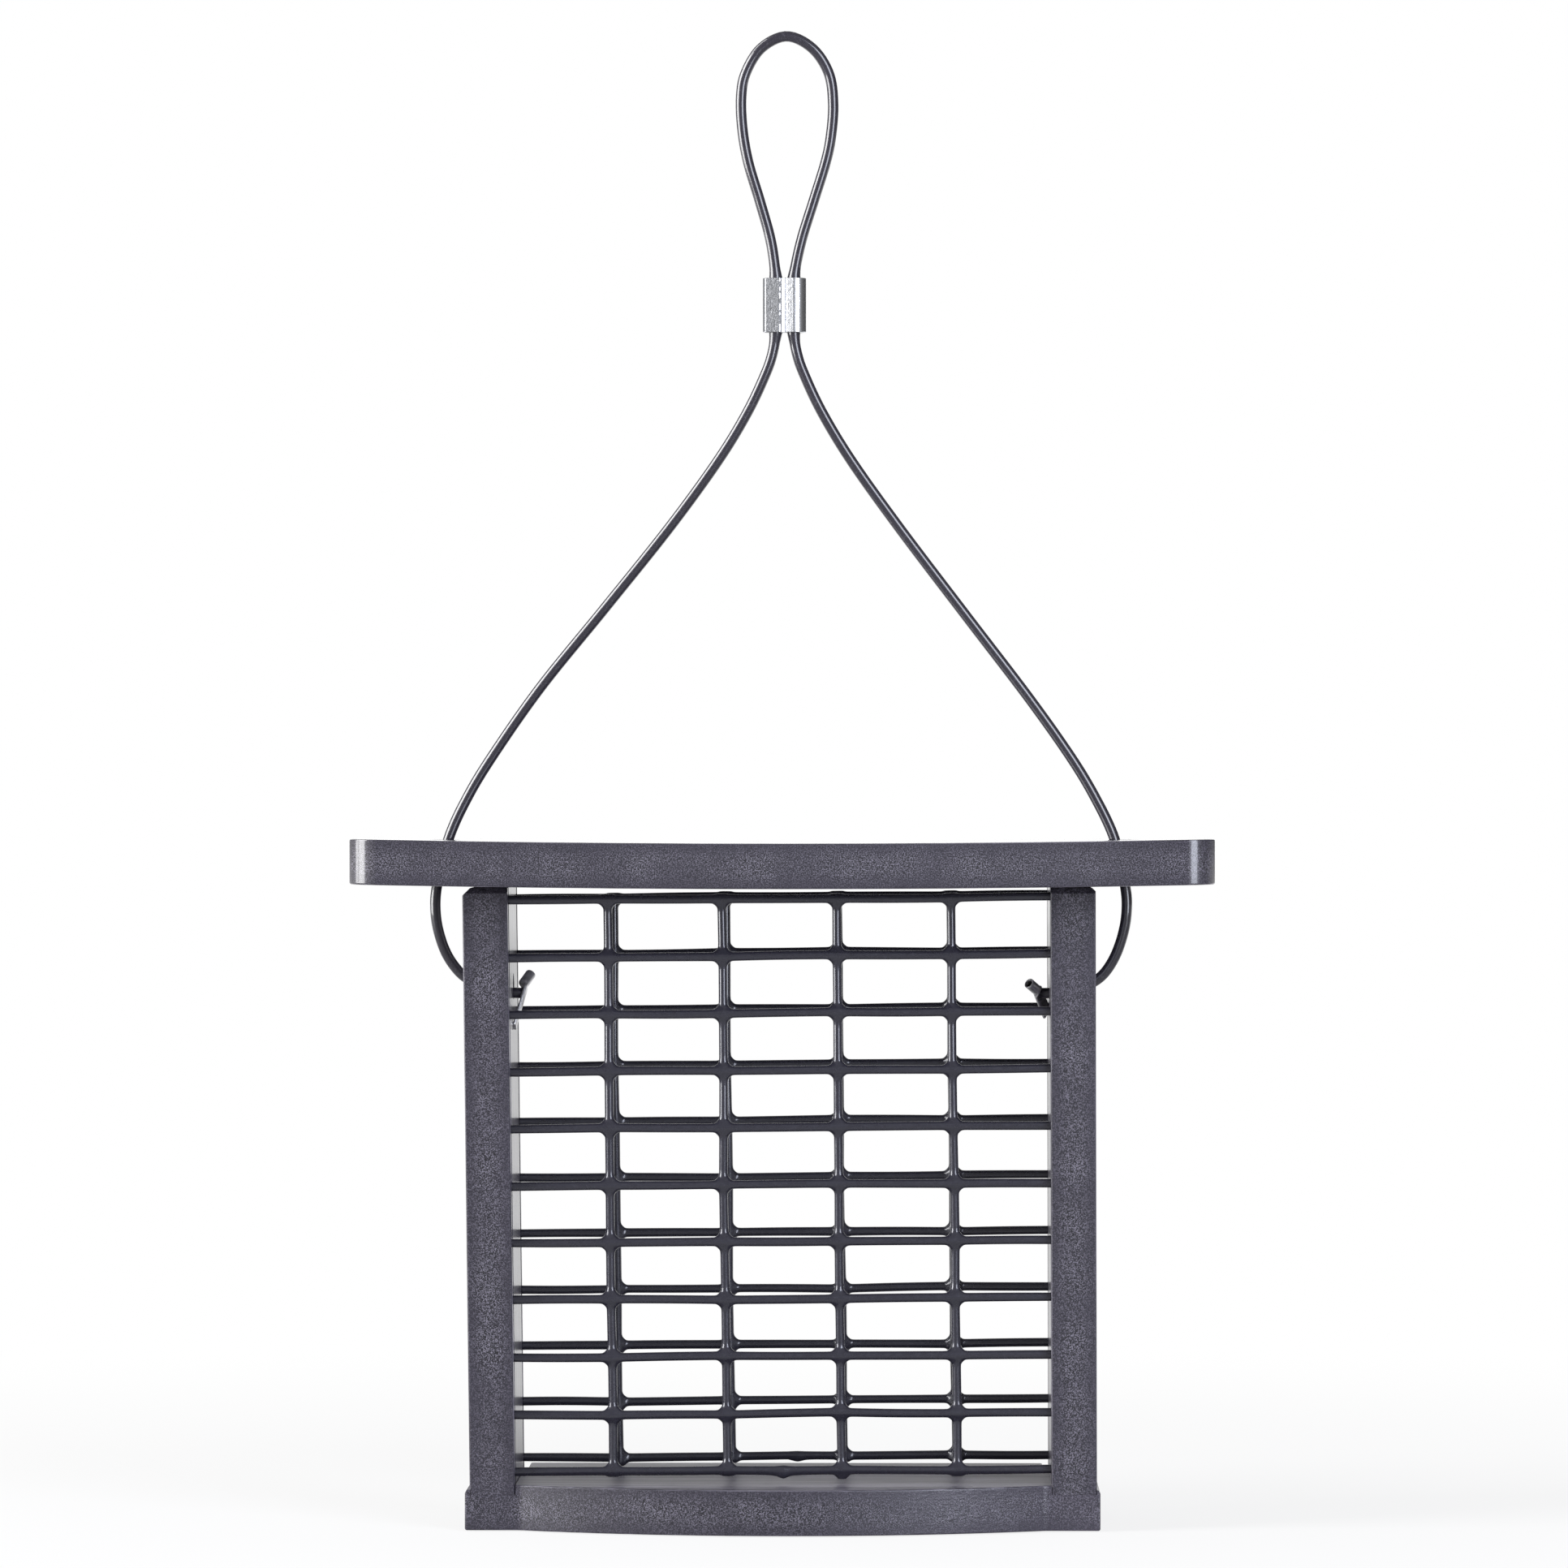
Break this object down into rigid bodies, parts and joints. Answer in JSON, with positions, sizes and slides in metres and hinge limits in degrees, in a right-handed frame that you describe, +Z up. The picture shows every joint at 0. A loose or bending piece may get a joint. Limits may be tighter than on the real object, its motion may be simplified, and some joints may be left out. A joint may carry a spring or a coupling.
{
  "type": "suet feeder",
  "caption": "Hanging suet feeder: board roof and bowed base, two grooved posts, welded mesh panels, and a looped cable on which the roof slides up to open the bay.",
  "frame": {"origin": "centre of the base's underside, on the surface the feeder stands on", "axes": "+X along the roof to the picture's right, -Y out of the front mesh, +Z up through the hanging loop"},
  "size_m": [0.1906, 0.0762, 0.333],
  "materials": {
    "board": "satin recycled plastic board, slate grey with fine pale flecks and faint saw marks",
    "mesh_coating": "glossy near-black vinyl coating over welded wire",
    "cable_sheath": "glossy black vinyl sheath over a steel strand",
    "bright_aluminium": "bright, with crimping scuffs",
    "grey_steel": "dull, with pinch creases",
    "screw_steel": "zinc plated"
  },
  "bodies": {
    "frame": {"base": "board", "left_post": "board", "right_post": "board", "front_mesh": "mesh_coating", "back_mesh": "mesh_coating", "cable_tail_left": "cable_sheath", "cable_tail_right": "cable_sheath", "cable_stop_left": "grey_steel", "cable_stop_right": "grey_steel", "cable_core_left": "grey_steel", "cable_core_right": "grey_steel", "base_screw_front_left": "screw_steel", "base_screw_front_right": "screw_steel", "base_screw_back_left": "screw_steel", "base_screw_back_right": "screw_steel"},
    "roof": {"roof": "board", "cable_leg_left": "cable_sheath", "cable_leg_right": "cable_sheath"},
    "hanger": {"cable_loop": "cable_sheath", "loop_ferrule": "bright_aluminium"}
  },
  "joints": [
    {"name": "roof_slide", "type": "slide", "parent": "frame", "child": "roof", "axis": [0, 0, 1], "range_m": [0, 0.05], "deforming": ["cable_tail_left", "cable_tail_right"]},
    {"name": "hanger_settle", "type": "slide", "parent": "roof", "child": "hanger", "axis": [0, 0, -1], "range_m": [0, 0.062], "deforming": ["cable_leg_left", "cable_leg_right"]}
  ],
  "couplings": [
    {"joint": "hanger_settle", "follows": "roof_slide", "ratio": 1.24}
  ]
}
